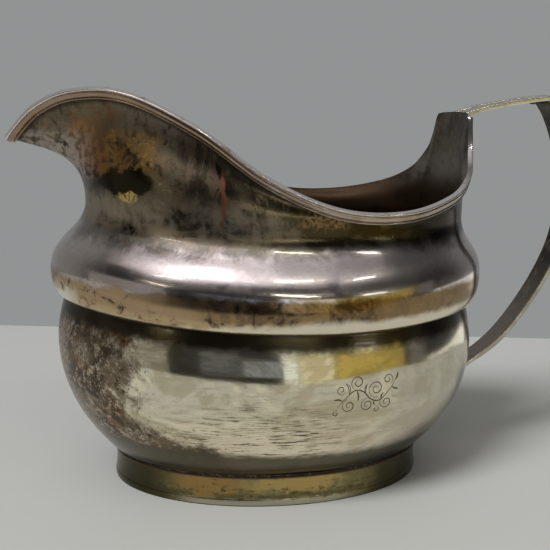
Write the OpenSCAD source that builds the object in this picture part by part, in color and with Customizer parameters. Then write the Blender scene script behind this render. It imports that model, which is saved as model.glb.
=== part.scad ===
// Oval silver cream jug on a collet foot: two raised shells, a reeded mouth wire,
// a two-piece strap handle, a foot ring with its base wire, and the solder that joins them.
// Millimetres. +Z is up, the spout points along -X and the handle along +X.
// The origin is the centre of the foot, on the plane that the jug stands on.

/* [Foot] */
// Half the length of the foot
foot_a = 36.3; // [34:0.1:36.8]
// Half the width of the foot
foot_b = 25.7; // [24:0.1:26.2]
// Thickness of the foot wall
foot_wall = 0.9; // [0.7:0.1:1.2]
// Height of the wire round the base
base_wire_h = 1.6; // [0.8:0.1:2]
// How far the base wire stands proud of the foot
base_wire_proud = 0.15; // [0.1:0.05:0.8]

/* [Body] */
// Thickness of the sheet
sheet = 0.6; // [0.5:0.1:0.9]
// Half the length of the lower bowl at its widest
bowl_a = 48.7; // [47:0.1:50]
// Height at which the lower bowl is widest
bowl_z = 33.2; // [31:0.1:35]
// Half the length of the body at the seam
seam_a = 47.0; // [46.5:0.1:47.3]
// Height of the seam at the two ends of the oval
seam_z = 42.4; // [41.5:0.1:43]
// How far the seam and the bulge dip along the sides of the oval
seam_dip = 2.4; // [0:0.1:2.8]
// How much lower the seam is at the handle end than on the sides of the oval
seam_tilt = 0.75; // [0:0.05:1]
// Half the length of the bulge at its widest
bulge_a = 50.2; // [49:0.1:52]
// Height at which the bulge is widest
bulge_z = 48.6; // [47.5:0.1:50]
// Half the length of the neck
neck_a = 43.5; // [42.5:0.1:44]
// Height of the neck
neck_z = 63.0; // [62:0.1:63.6]
// How much squarer than an ellipse the neck is
neck_power = 2.3; // [2:0.05:2.5]

/* [Mouth wire] */
// Height of the reeded wire round the mouth
wire_h = 2.4; // [1.8:0.1:2.8]
// Thickness of the reeded wire
wire_t = 0.65; // [0.5:0.05:1.3]

/* [Handle] */
// Thickness of the strap
strap_t = 1.2; // [1:0.1:1.6]
// Width of the strap where it leaves the body
strap_top_w = 8.6; // [7:0.1:10]
// Width of the strap at the lower joint
strap_low_w = 6.2; // [5:0.1:7]

/* [Hidden] */

tarnished = "#8c8478";
pale = "#b3aa97";
brassy = "#9b9170";
solder = "#6f6a5f";

columns = 96;
step = 360 / columns;
corner_column = 5;
bowl_shift = -0.5;
neck_shift = 0.6;
foot_top = 6.6;
bowl_bottom_z = 3.2;
lap = 1.2;
bowl_flat_a = 24;

// The mouth edge from the middle of the back to the tip of the spout, on the +Y side:
// angle round the body, position, and the lean of the wall there, in degrees from upright.
MOUTH = [
    [0, [44.8, 0, 85.2], 6],
    [10, [44.6, 5.2, 85.1], 6],
    [15, [44.2, 7.7, 84.9], 6],
    [18.75, [43.8, 9.1, 84.2], 6],
    [21.5, [43.5, 10.3, 80.3], 7],
    [24, [43.0, 11.9, 76.7], 8],
    [33, [40.6, 16.9, 71.2], 10],
    [45, [34.5, 22.6, 67.2], 14],
    [63, [21.5, 28.8, 64.4], 16],
    [80, [7, 29.6, 65.2], 16],
    [97, [-8, 28.0, 71.4], 16],
    [113, [-22, 24.2, 81.2], 18],
    [130, [-35.5, 18.6, 87.6], 24],
    [148, [-46.5, 12.4, 87.8], 36],
    [164, [-54.3, 6.4, 84.0], 60],
    [180, [-59.9, 0, 77.4], 76]
];

// The two faces of the bow of the handle, seen from the side, from its top end down.
BOW_INNER = [[66.4, 88.4], [69.2, 84.2], [72.0, 77.0], [73.6, 67.0], [73.0, 57.0],
             [69.8, 48.0], [64.0, 38.2], [56.8, 29.6], [46.95, 22.4]];
BOW_OUTER = [[73.0, 88.3], [73.9, 84.4], [74.9, 77.2], [75.3, 67.0], [74.3, 56.6],
             [71.0, 47.4], [65.0, 37.4], [57.6, 28.6], [46.35, 21.0]];
// The middle line of the top strap, seen from the side, from the body outwards.
TOP_LINE = [[45.0, 84.7], [50, 86.2], [55, 87.3], [60, 88.2], [65, 88.9], [69, 89.3],
            [72, 88.9], [73.4, 87.6]];

// ---- curves ----

function mix(a, b, t) = a + (b - a) * t;

// 0 below lo, 1 above hi, and an even curve between.
function ease(lo, hi, v) =
    let (t = min(1, max(0, (v - lo) / (hi - lo))))
    t * t * (3 - 2 * t);

// A smooth curve through evenly spaced points, with t from 0 to 1 along the list.
function through(points, t) =
    let (n = len(points) - 1)
    let (k = min(n - 1, floor(t * n)))
    let (u = t * n - k)
    let (p1 = points[k], p2 = points[k + 1])
    let (p0 = k > 0 ? points[k - 1] : 2 * p1 - p2)
    let (p3 = k < n - 1 ? points[k + 2] : 2 * p2 - p1)
    0.5 * (2 * p1 + (p2 - p0) * u + (2 * p0 - 5 * p1 + 4 * p2 - p3) * u * u
           + (3 * p1 - p0 - 3 * p2 + p3) * u * u * u);

function bezier(p0, p1, p2, p3, t) =
    let (s = 1 - t)
    s * s * s * p0 + 3 * s * s * t * p1 + 3 * s * t * t * p2 + t * t * t * p3;

function unit(v) = v / norm(v);

// ---- oval sections ----

// How much narrower than its length the body is, at a height: half length less half width.
function narrowing(z) = foot_a - foot_b + 0.05 * z;

// How strongly the dip and tilt of the seam act at a height.
function dip_share(z) = ease(12, seam_z, z) * (1 - ease(neck_z - 3, neck_z + 11, z));

// A point of an oval of half length a at a height, at an angle round it.
function oval(a, b, angle, power = 2) =
    let (c = cos(angle), s = sin(angle))
    [a * sign(c) * pow(abs(c), 2 / power), b * sign(s) * pow(abs(s), 2 / power)];

function body_point(a, z, angle, power = 2) =
    let (p = oval(a, max(a - narrowing(z), a * 0.6), angle, power))
    let (shift = mix(bowl_shift * ease(foot_top, bowl_z, z), neck_shift, ease(bulge_z, neck_z, z)))
    let (drop = seam_dip * pow(sin(angle), 2) + seam_tilt * cos(angle))
    [p[0] + shift, p[1], z - drop * dip_share(z)];

// ---- profiles: half length at a height ----

function bowl_half(z) = z < bowl_z
    ? bowl_a - (bowl_a - foot_a + 0.2) * pow((bowl_z - z) / (bowl_z - foot_top), 2.2)
    : bowl_a - (bowl_a - seam_a) * pow((z - bowl_z) / (seam_z - bowl_z), 1.6);

// Half length and height round the turn from the flat bottom to the wall of the bowl.
function bottom_turn(t) =
    bezier([bowl_flat_a, bowl_bottom_z], [30.5, bowl_bottom_z], [33.8, 4.3],
           [bowl_half(foot_top), foot_top], t);

// Half length and height up the bulge, from the seam to its widest.
function bulge_rise(t) =
    [seam_a + (bulge_a - seam_a) * pow(sin(90 * t), 0.8), mix(seam_z, bulge_z, 1 - cos(90 * t))];

// Half length and height from the widest of the bulge in to the neck.
function neck_sweep(t) =
    bezier([bulge_a, bulge_z], [bulge_a, bulge_z + 6.9], [neck_a, neck_z - 6], [neck_a, neck_z], t);

// ---- the mouth edge ----

// The control points with a mirrored one added past each end, so that both ends run level.
function mirrored(m, angle) = [angle, [m[1][0], -m[1][1], m[1][2]], m[2]];
LAST = len(MOUTH) - 1;
MOUTH_RUN = concat(
    [mirrored(MOUTH[1], -MOUTH[1][0])],
    MOUTH,
    [mirrored(MOUTH[LAST - 1], 360 - MOUTH[LAST - 1][0])]
);

// Which stretch of the list an angle falls in.
function stretch(h, k = 1) = k >= LAST || h <= MOUTH_RUN[k + 1][0] ? k : stretch(h, k + 1);

function slope(k, item) =
    (MOUTH_RUN[k + 1][item] - MOUTH_RUN[k - 1][item]) / (MOUTH_RUN[k + 1][0] - MOUTH_RUN[k - 1][0]);

// Item 1 (the position) or 2 (the lean) at half angle h, from 0 to 180.
function mouth_item(h, item) =
    let (k = stretch(h))
    let (span = MOUTH_RUN[k + 1][0] - MOUTH_RUN[k][0])
    let (t = (h - MOUTH_RUN[k][0]) / span)
    let (t2 = t * t, t3 = t * t * t)
    (2 * t3 - 3 * t2 + 1) * MOUTH_RUN[k][item]
    + (t3 - 2 * t2 + t) * span * slope(k, item)
    + (3 * t2 - 2 * t3) * MOUTH_RUN[k + 1][item]
    + (t3 - t2) * span * slope(k + 1, item);

function half_angle(angle) = angle <= 180 ? angle : 360 - angle;

function mouth_point(angle) =
    let (p = mouth_item(half_angle(angle), 1))
    [p[0], angle <= 180 ? p[1] : -p[1], p[2]];

// A point on the wall between the neck and the mouth edge, with t from 0 to 1 upwards.
function throat_point(angle, t) =
    let (foot = body_point(neck_a, neck_z, angle, neck_power))
    let (edge = mouth_point(angle))
    let (lean = mouth_item(half_angle(angle), 2))
    let (out = unit([cos(angle), sin(angle) * 1.3, 0]))
    let (reach = norm(edge - foot))
    let (lip = out * sin(lean) + [0, 0, cos(lean)])
    bezier(foot, foot + [0, 0, 0.5 * reach], edge - 0.43 * reach * lip, edge, t);

// ---- grids of points: rows going up, columns going round ----

angles = [for (i = [0:columns - 1]) i * step];

function ring(a, z, power = 2) = [for (angle = angles) body_point(a, z, angle, power)];

bowl_outer = concat(
    [for (t = [0:0.25:0.76]) let (p = bottom_turn(t)) ring(p[0], p[1])],
    [for (t = [0:0.1:1.01]) let (z = mix(foot_top, seam_z, t)) ring(bowl_half(z), z)],
    [ring(seam_a - 0.1, seam_z + lap)]
);

body_outer = concat(
    [for (t = [0:0.2:0.81]) let (p = bulge_rise(t)) ring(p[0], p[1])],
    [for (t = [0:0.125:0.99]) let (p = neck_sweep(t)) ring(p[0], p[1], mix(2, neck_power, t))],
    [for (t = [0:0.125:1.01]) [for (angle = angles) throat_point(angle, t)]]
);

// The way out of a grid's surface at row j and column i.
function outward(grid, j, i) =
    let (rows = len(grid), cols = len(grid[0]))
    let (around = grid[j][(i + 1) % cols] - grid[j][(i + cols - 1) % cols])
    let (up = grid[min(j + 1, rows - 1)][i] - grid[max(j - 1, 0)][i])
    unit(cross(around, up));

// The grid moved inwards by a thickness.
function inset(grid, depth) =
    [for (j = [0:len(grid) - 1]) [for (i = [0:len(grid[0]) - 1])
        grid[j][i] - depth * outward(grid, j, i)]];

// ---- solids from grids ----

function flatten(rows) = [for (row = rows) for (p = row) p];

// The two triangles of one cell between row j and the next, wrapping round the columns.
function cell(j, i, cols) =
    let (a = j * cols + i, b = j * cols + (i + 1) % cols)
    let (c = a + cols, d = b + cols)
    [[a, b, d], [a, d, c]];

// A tube closed round both ways: rows of a loop that itself comes back to its start.
module loop_solid(rows) {
    cols = len(rows[0]);
    count = len(rows);
    points = flatten(rows);
    faces = [for (j = [0:count - 1]) for (i = [0:cols - 1])
        let (a = j * cols + i, b = j * cols + (i + 1) % cols)
        let (c = ((j + 1) % count) * cols + i, d = ((j + 1) % count) * cols + (i + 1) % cols)
        for (f = [[a, d, b], [a, c, d]]) f];
    polyhedron(points, faces, convexity = 6);
}

// A solid swept along rows, each a closed outline, with a flat face over each end.
module swept_solid(rows) {
    cols = len(rows[0]);
    count = len(rows);
    walls = [for (j = [0:count - 2]) for (i = [0:cols - 1]) for (f = cell(j, i, cols)) [f[0], f[2], f[1]]];
    start = [[for (i = [0:cols - 1]) i]];
    end = [[for (i = [cols - 1:-1:0]) (count - 1) * cols + i]];
    polyhedron(flatten(rows), concat(walls, start, end), convexity = 6);
}

// The wall of the lower bowl, with its closed bottom.
module lower_bowl() {
    inner = inset(bowl_outer, sheet);
    rows = len(bowl_outer);
    points = concat(flatten(bowl_outer), flatten(inner),
                    [[0, 0, bowl_bottom_z], [0, 0, bowl_bottom_z + sheet]]);
    base = rows * columns;
    low = 2 * base;
    high = low + 1;
    outside = [for (j = [0:rows - 2]) for (i = [0:columns - 1]) for (f = cell(j, i, columns)) [f[0], f[2], f[1]]];
    inside = [for (j = [0:rows - 2]) for (i = [0:columns - 1]) for (f = cell(j, i, columns)) f + [base, base, base]];
    lip = [for (i = [0:columns - 1])
        let (a = base - columns + i, b = base - columns + (i + 1) % columns)
        for (f = [[a, a + base, b + base], [a, b + base, b]]) f];
    under = [for (i = [0:columns - 1]) [low, i, (i + 1) % columns]];
    floor_faces = [for (i = [0:columns - 1]) [high, base + (i + 1) % columns, base + i]];
    color(pale) polyhedron(points, concat(outside, inside, lip, under, floor_faces), convexity = 8);
}

// The bulge, neck, spout and upstand, raised as one open shell.
module upper_body() {
    inner = inset(body_outer, sheet);
    rows = len(body_outer);
    color(tarnished)
    loop_solid(concat(body_outer, [for (j = [rows - 1:-1:0]) inner[j]]));
}

// ---- the mouth wire ----

// The wire's outline: distance out from the sheet, and distance down from the edge.
WIRE = [[0, -0.02], [0.4, -0.08], [0.9, 0.0], [1.0, 0.12], [0.8, 0.25], [0.95, 0.34],
        [1.0, 0.5], [0.95, 0.7], [0.7, 0.8], [0.82, 0.86], [0.8, 0.95], [0.5, 1.0], [0, 1.01]];

function wire_row(i) =
    let (top = len(body_outer) - 1)
    let (edge = body_outer[top][i])
    let (down = unit(body_outer[top - 1][i] - edge))
    let (along = unit(body_outer[top][(i + 1) % columns] - body_outer[top][(i + columns - 1) % columns]))
    let (out = unit(cross(down, along)))
    [for (p = WIRE) edge + out * (p[0] * wire_t + 0.01) + down * p[1] * wire_h];

module mouth_wire() {
    color(pale)
    swept_solid([for (i = [corner_column:columns - corner_column]) wire_row(i)]);
}

// ---- the foot ----

module oval_plate(a, b, h) {
    linear_extrude(h) polygon([for (angle = angles) oval(a, b, angle)]);
}

module oval_collar(a, b, wall, z, h) {
    translate([0, 0, z])
    difference() {
        oval_plate(a, b, h);
        translate([0, 0, -1]) oval_plate(a - wall, b - wall, h + 2);
    }
}

module foot_ring() {
    color(brassy) oval_collar(foot_a, foot_b, foot_wall, base_wire_h, foot_top - base_wire_h);
}

module foot_base_wire() {
    color(brassy)
    oval_collar(foot_a + base_wire_proud, foot_b + base_wire_proud,
                foot_wall + base_wire_proud, 0, base_wire_h);
}

// The fillet between the top of the foot and the bowl above it.
module foot_solder() {
    color(solder)
    loop_solid([
        [for (angle = angles) body_point(bowl_half(foot_top) + 0.02, foot_top, angle)],
        [for (angle = angles) let (p = oval(foot_a + 0.15, foot_b + 0.15, angle)) [p[0], p[1], foot_top]],
        [for (angle = angles) let (p = oval(foot_a + 0.6, foot_b + 0.6, angle)) [p[0], p[1], foot_top + 0.7]],
        [for (angle = angles) body_point(bowl_half(foot_top + 1.4) + 0.06, foot_top + 1.4, angle)],
        [for (angle = angles) body_point(bowl_half(foot_top + 0.7) + 0.04, foot_top + 0.7, angle)]
    ]);
}

// The fillet inside the lap where the upper body sits over the edge of the bowl.
module seam_solder() {
    z0 = seam_z + sheet + 0.15;
    color(solder)
    loop_solid([
        ring(seam_a - 0.02, z0),
        ring(seam_a + 0.7, z0 + 0.15),
        ring(seam_a - 0.06, z0 + 0.6)
    ]);
}

// ---- the handle ----

// The outline of the strap across its width: a reed along each edge and a shallow channel.
STRAP = [[-0.5, -0.5], [0.5, -0.5], [0.5, 0.3], [0.44, 0.5], [0.36, 0.5], [0.3, 0.3],
         [0.1, 0.36], [0, 0.38], [-0.1, 0.36], [-0.3, 0.3], [-0.36, 0.5], [-0.44, 0.5], [-0.5, 0.3]];

// One outline of the handle between a point on its inner face and one on its outer face.
function strap_row(inside, outside, width) =
    let (mid = (inside + outside) / 2, thick = outside - inside)
    [for (p = STRAP) [mid[0] + thick[0] * p[1], p[0] * width, mid[1] + thick[1] * p[1]]];

function top_strap_row(t) =
    let (p = through(TOP_LINE, t))
    let (q = through(TOP_LINE, min(1, t + 0.01)) - through(TOP_LINE, max(0, t - 0.01)))
    let (up = strap_t / 2 * unit([-q[1], q[0]]))
    strap_row(p - up, p + up, mix(strap_top_w, mix(strap_top_w, strap_low_w, 0.2), t));

function bow_row(t) =
    strap_row(through(BOW_INNER, t), through(BOW_OUTER, t),
              mix(mix(strap_top_w, strap_low_w, 0.2), strap_low_w, t));

module handle_top_strap() {
    color(pale) swept_solid([for (k = [0:17]) top_strap_row(k / 17)]);
}

module handle_bow() {
    color(tarnished) swept_solid([for (k = [0:40]) bow_row(k / 40)]);
}

// A thin bead of solder lying across the strap, in a joint of the handle.
module bead(x, z, w, r, squash) {
    translate([x, 0, z])
    rotate([90, 0, 0])
    translate([0, 0, -w / 2])
    linear_extrude(w) scale([1, squash]) circle(r, $fn = 24);
}

module upper_handle_solder() {
    color(solder) bead(45.2, 83.9, strap_top_w - 0.6, 0.7, 0.7);
}

module handle_corner_solder() {
    color(solder) bead(65.6, 87.9, strap_top_w - 1.8, 0.7, 0.5);
}

module lower_handle_solder() {
    color(solder) bead(47.45, 23.2, strap_low_w - 0.6, 0.7, 1);
}

lower_bowl();
upper_body();
mouth_wire();
foot_ring();
foot_base_wire();
handle_top_strap();
handle_bow();
foot_solder();
seam_solder();
upper_handle_solder();
handle_corner_solder();
lower_handle_solder();
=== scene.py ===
"""Oval silver cream jug: smooth sheet, wire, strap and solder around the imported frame.

The shapes repeat the formulas of the CAD model in millimetres and are turned to metres
only when a mesh is made. +Z is up, the spout points along -X and the handle along +X.
"""
import math

import bpy
from mathutils import Matrix, Vector, noise


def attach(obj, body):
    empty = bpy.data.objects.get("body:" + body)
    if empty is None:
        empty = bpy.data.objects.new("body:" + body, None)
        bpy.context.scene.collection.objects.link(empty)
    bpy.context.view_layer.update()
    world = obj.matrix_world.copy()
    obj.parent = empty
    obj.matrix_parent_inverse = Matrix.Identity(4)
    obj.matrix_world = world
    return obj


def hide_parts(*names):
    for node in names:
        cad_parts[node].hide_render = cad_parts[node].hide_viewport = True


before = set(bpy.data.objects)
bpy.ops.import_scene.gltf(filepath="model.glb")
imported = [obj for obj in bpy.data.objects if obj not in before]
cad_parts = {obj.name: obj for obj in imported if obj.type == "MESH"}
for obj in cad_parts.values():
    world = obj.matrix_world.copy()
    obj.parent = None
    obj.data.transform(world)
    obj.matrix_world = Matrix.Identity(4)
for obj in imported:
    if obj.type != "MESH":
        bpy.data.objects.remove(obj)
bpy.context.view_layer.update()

MM = 0.001

# ---- sizes, in millimetres ----

FOOT_A, FOOT_B, FOOT_TOP, FOOT_WALL = 36.3, 25.7, 6.6, 0.9
BASE_WIRE_H, BASE_WIRE_PROUD = 1.6, 0.15
SHEET = 0.6
BOWL_A, BOWL_Z, BOWL_BOTTOM, BOWL_FLAT_A = 48.7, 33.2, 3.2, 24.0
LAP, LAP_INSET = 1.2, 0.05
SEAM_A, SEAM_Z, SEAM_DIP, SEAM_TILT = 47.0, 42.4, 2.4, 0.75
BULGE_A, BULGE_Z = 50.2, 48.6
NECK_A, NECK_Z, NECK_POWER = 43.5, 63.0, 2.3
BOWL_SHIFT, NECK_SHIFT = -0.5, 0.6
WIRE_H, WIRE_T = 2.4, 0.65
STRAP_T, STRAP_TOP_W, STRAP_LOW_W = 1.2, 8.6, 6.2
CORNER_ANGLE = 18.75

# The mouth edge on the +Y side: angle round the body, position, lean of the wall.
MOUTH = [
    (0, (44.8, 0, 85.2), 6),
    (10, (44.6, 5.2, 85.1), 6),
    (15, (44.2, 7.7, 84.9), 6),
    (18.75, (43.8, 9.1, 84.2), 6),
    (21.5, (43.5, 10.3, 80.3), 7),
    (24, (43.0, 11.9, 76.7), 8),
    (33, (40.6, 16.9, 71.2), 10),
    (45, (34.5, 22.6, 67.2), 14),
    (63, (21.5, 28.8, 64.4), 16),
    (80, (7, 29.6, 65.2), 16),
    (97, (-8, 28.0, 71.4), 16),
    (113, (-22, 24.2, 81.2), 18),
    (130, (-35.5, 18.6, 87.6), 24),
    (148, (-46.5, 12.4, 87.8), 36),
    (164, (-54.3, 6.4, 84.0), 60),
    (180, (-59.9, 0, 77.4), 76),
]
BOW_INNER = [(66.4, 88.4), (69.2, 84.2), (72.0, 77.0), (73.6, 67.0), (73.0, 57.0),
             (69.8, 48.0), (64.0, 38.2), (56.8, 29.6), (46.95, 22.4)]
BOW_OUTER = [(73.0, 88.3), (73.9, 84.4), (74.9, 77.2), (75.3, 67.0), (74.3, 56.6),
             (71.0, 47.4), (65.0, 37.4), (57.6, 28.6), (46.35, 21.0)]
TOP_LINE = [(45.0, 84.7), (50, 86.2), (55, 87.3), (60, 88.2), (65, 88.9), (69, 89.3),
            (72, 88.9), (73.4, 87.6)]


# ---- camera ----

VIEW_TURN, VIEW_DIP, VIEW_ROLL = math.radians(13.4), math.radians(10.0), math.radians(1.4)
VIEW_TARGET, VIEW_DISTANCE = Vector((0.7, 0, 46.4)), 224.0
# Level, square to the view: to the right in it, and away from the camera.
VIEW_RIGHT = Vector((math.cos(VIEW_TURN), -math.sin(VIEW_TURN), 0))
VIEW_AWAY = Vector((math.sin(VIEW_TURN), math.cos(VIEW_TURN), 0))


def add_camera():
    """The camera stands low on the -Y side, turned towards the spout end."""
    turn, dip, roll = VIEW_TURN, VIEW_DIP, VIEW_ROLL
    ahead = Vector((math.sin(turn) * math.cos(dip), math.cos(turn) * math.cos(dip), -math.sin(dip)))
    level = VIEW_RIGHT
    upright = level.cross(ahead)
    right = level * math.cos(roll) + upright * math.sin(roll)
    up = upright * math.cos(roll) - level * math.sin(roll)
    camera = bpy.data.objects.new("camera", bpy.data.cameras.new("camera"))
    bpy.context.collection.objects.link(camera)
    place = Matrix((right, up, -ahead)).transposed().to_4x4()
    place.translation = (VIEW_TARGET - ahead * VIEW_DISTANCE) * MM
    camera.matrix_world = place
    camera.data.sensor_width = 36.0
    camera.data.lens = 62.25
    camera.data.clip_start = 0.01
    bpy.context.scene.camera = camera


# ---- curves ----

def mix(a, b, t):
    return a + (b - a) * t


def ease(lo, hi, v):
    t = min(1.0, max(0.0, (v - lo) / (hi - lo)))
    return t * t * (3 - 2 * t)


def through(points, t):
    """A smooth curve through evenly spaced points, with t from 0 to 1."""
    last = len(points) - 1
    k = min(last - 1, int(t * last))
    u = t * last - k
    p1, p2 = Vector(points[k]), Vector(points[k + 1])
    p0 = Vector(points[k - 1]) if k > 0 else 2 * p1 - p2
    p3 = Vector(points[k + 2]) if k < last - 1 else 2 * p2 - p1
    return 0.5 * (2 * p1 + (p2 - p0) * u + (2 * p0 - 5 * p1 + 4 * p2 - p3) * u * u
                  + (3 * p1 - p0 - 3 * p2 + p3) * u ** 3)


def bezier(p0, p1, p2, p3, t):
    s = 1 - t
    return s ** 3 * p0 + 3 * s * s * t * p1 + 3 * s * t * t * p2 + t ** 3 * p3


# ---- oval sections ----

# How much narrower the ovals get for each millimetre up, and their least width for their length.
NARROWING, NARROWEST = 0.05, 0.6
# The height at which the seam's dip begins to show, going up, and those where it fades out.
DIP_START, DIP_FADE, DIP_END = 12, NECK_Z - 3, NECK_Z + 11


def oval(a, b, angle, power=2.0):
    c, s = math.cos(math.radians(angle)), math.sin(math.radians(angle))
    x = math.copysign(abs(c) ** (2 / power), c)
    y = math.copysign(abs(s) ** (2 / power), s)
    return a * x, b * y


def dip_share(z):
    """How much of the seam's dip and tilt the body has at a height."""
    return ease(DIP_START, SEAM_Z, z) * (1 - ease(DIP_FADE, DIP_END, z))


def seam_drop(turn):
    """How far below its height at the ends the seam is, at an angle in radians."""
    return SEAM_DIP * math.sin(turn) ** 2 + SEAM_TILT * math.cos(turn)


def body_point(a, z, angle, power=2.0):
    """The point at an angle in degrees on the body's oval of half length a."""
    b = max(a - (FOOT_A - FOOT_B + NARROWING * z), a * NARROWEST)
    x, y = oval(a, b, angle, power)
    shift = mix(BOWL_SHIFT * ease(FOOT_TOP, BOWL_Z, z), NECK_SHIFT, ease(BULGE_Z, NECK_Z, z))
    return Vector((x + shift, y, z - dip_share(z) * seam_drop(math.radians(angle))))


# How far in from the foot's face the bowl starts, and how full it is below and above its widest.
FOOT_STEP, LOW_FULLNESS, TOP_FULLNESS = 0.2, 2.2, 1.6


def bowl_half(z):
    """Half the length of the bowl at a height."""
    if z < BOWL_Z:
        fall = (BOWL_Z - z) / (BOWL_Z - FOOT_TOP)
        return BOWL_A - (BOWL_A - FOOT_A + FOOT_STEP) * fall ** LOW_FULLNESS
    return BOWL_A - (BOWL_A - SEAM_A) * ((z - BOWL_Z) / (SEAM_Z - BOWL_Z)) ** TOP_FULLNESS


def bottom_turn(t):
    """Half length and height, from the flat of the bottom out to the top of the foot."""
    return bezier(Vector((BOWL_FLAT_A, BOWL_BOTTOM)), Vector((30.5, BOWL_BOTTOM)),
                  Vector((33.8, 4.3)), Vector((bowl_half(FOOT_TOP), FOOT_TOP)), t)


def bulge_rise(t):
    """Half length and height, from the seam out to the widest place of the bulge."""
    turn = math.radians(90 * t)
    return (SEAM_A + (BULGE_A - SEAM_A) * math.sin(turn) ** 0.8,
            mix(SEAM_Z, BULGE_Z, 1 - math.cos(turn)))


def neck_sweep(t):
    """Half length and height, from the widest place of the bulge in to the neck."""
    return bezier(Vector((BULGE_A, BULGE_Z)), Vector((BULGE_A, BULGE_Z + 6.9)),
                  Vector((NECK_A, NECK_Z - 6)), Vector((NECK_A, NECK_Z)), t)


# ---- the mouth edge ----

def mouth_run():
    """The control points as (angle, x, y, z, lean), mirrored past each end."""
    run = [(h, *p, lean) for h, p, lean in MOUTH]
    h, x, y, z, lean = run[1]
    first = (-h, x, -y, z, lean)
    h, x, y, z, lean = run[-2]
    return [first, *run, (360 - h, x, -y, z, lean)]


MOUTH_RUN = mouth_run()


def mouth_at(angle):
    """The mouth edge's point and the lean of the wall there."""
    h = angle if angle <= 180 else 360 - angle
    k = 1
    while k < len(MOUTH) - 1 and h > MOUTH_RUN[k + 1][0]:
        k += 1
    before, here, there, after = MOUTH_RUN[k - 1:k + 3]
    span = there[0] - here[0]
    t = (h - here[0]) / span
    values = []
    for i in range(1, 5):
        slope_here = (there[i] - before[i]) / (there[0] - before[0])
        slope_there = (after[i] - here[i]) / (after[0] - here[0])
        start = (2 * t ** 3 - 3 * t * t + 1) * here[i] + (t ** 3 - 2 * t * t + t) * span * slope_here
        end = (3 * t * t - 2 * t ** 3) * there[i] + (t ** 3 - t * t) * span * slope_there
        values.append(start + end)
    x, y, z, lean = values
    return Vector((x, y if angle <= 180 else -y, z)), math.radians(lean)


# The lip's lean to the sides, and how straight the throat leaves the neck and meets the edge.
LIP_SIDEWAYS, THROAT_RISE, LIP_REACH = 1.3, 0.5, 0.43


def throat_point(angle, t):
    """The throat sweeps from the neck, where t is 0, to the mouth edge, where t is 1."""
    foot = body_point(NECK_A, NECK_Z, angle, NECK_POWER)
    edge, lean = mouth_at(angle)
    turn = math.radians(angle)
    out = Vector((math.cos(turn), math.sin(turn) * LIP_SIDEWAYS, 0)).normalized()
    reach = (edge - foot).length
    lip = out * math.sin(lean) + Vector((0, 0, math.cos(lean)))
    rise = Vector((0, 0, THROAT_RISE * reach))
    return bezier(foot, foot + rise, edge - LIP_REACH * reach * lip, edge, t)


# ---- grids: rows going up, columns going round ----

COLUMNS = 384
ANGLES = [360 * i / COLUMNS for i in range(COLUMNS)]
# The column at which the wire ends, beside the handle.
CORNER = round(CORNER_ANGLE * COLUMNS / 360)


def steps(count, dropped=0):
    """Values from 0 to 1 in equal steps, with some dropped from the end."""
    return [i / count for i in range(count + 1 - dropped)]


def ring(a, z, power=2.0):
    return [body_point(a, z, angle, power) for angle in ANGLES]


def bowl_grid():
    """The bowl's outside, up to the two rows that lap inside the upper body."""
    rows = [ring(*bottom_turn(t)) for t in steps(12, dropped=1)]
    rows += [ring(bowl_half(z), z) for z in (mix(FOOT_TOP, SEAM_Z, t) for t in steps(56))]
    return rows + [ring(SEAM_A - LAP_INSET, SEAM_Z + LAP * t) for t in (0.5, 1)]


def body_grid():
    """The upper body's outside, from the seam to the mouth edge."""
    rows = [ring(*bulge_rise(t)) for t in steps(18, dropped=1)]
    rows += [ring(*neck_sweep(t), mix(2, NECK_POWER, t)) for t in steps(36, dropped=1)]
    return rows + [[throat_point(angle, t) for angle in ANGLES] for t in steps(48)]


def outward(grid, j, i):
    """The way out of a grid's surface at row j and column i."""
    rows, cols = len(grid), len(grid[0])
    around = grid[j][(i + 1) % cols] - grid[j][i - 1]
    up = grid[min(j + 1, rows - 1)][i] - grid[max(j - 1, 0)][i]
    return around.cross(up).normalized()


def moved(grid, amount):
    """The grid moved outwards by amount(point), which may be negative."""
    return [[p + amount(p) * outward(grid, j, i) for i, p in enumerate(row)]
            for j, row in enumerate(grid)]


# ---- meshes ----

SHARP = math.radians(42)


def add_mesh(name, points, faces):
    """A mesh object from points in millimetres, smooth but for its sharp edges."""
    mesh = bpy.data.meshes.new(name)
    mesh.from_pydata([p * MM for p in points], [], faces)
    mesh.validate()
    mesh.shade_smooth()
    mesh.set_sharp_from_angle(angle=SHARP)
    piece = bpy.data.objects.new(name, mesh)
    bpy.context.collection.objects.link(piece)
    return piece


def store(piece, name, values):
    """Keep one number for every point of the mesh, for a material to read."""
    attribute = piece.data.attributes.new(name, "FLOAT", "POINT")
    attribute.data.foreach_set("value", values)


# The seam's middling drop, and the width of the ovals for their length.
MIDDLE_DROP, ROUNDNESS = 1.5, 0.73


def store_levels(piece):
    """Keep the height of each point before the seam's dip and tilt, in millimetres."""
    levels = []
    for vertex in piece.data.vertices:
        x, y, z = vertex.co / MM
        turn = math.atan2(y / ROUNDNESS, x)
        levels.append(z + dip_share(z + MIDDLE_DROP) * seam_drop(turn))
    store(piece, "level", levels)


def quads(rows, cols, closed_rows=False):
    """The faces of a grid whose columns go round and whose rows may."""
    faces = []
    for j in range(rows if closed_rows else rows - 1):
        for i in range(cols):
            a, b = j * cols + i, j * cols + (i + 1) % cols
            c, d = ((j + 1) % rows) * cols + i, ((j + 1) % rows) * cols + (i + 1) % cols
            faces.append((a, b, d, c))
    return faces


def flat(rows):
    return [p for row in rows for p in row]


def loop_mesh(name, rows):
    """A ring: its rows close on themselves, and so do its columns."""
    return add_mesh(name, flat(rows), quads(len(rows), len(rows[0]), closed_rows=True))


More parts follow.
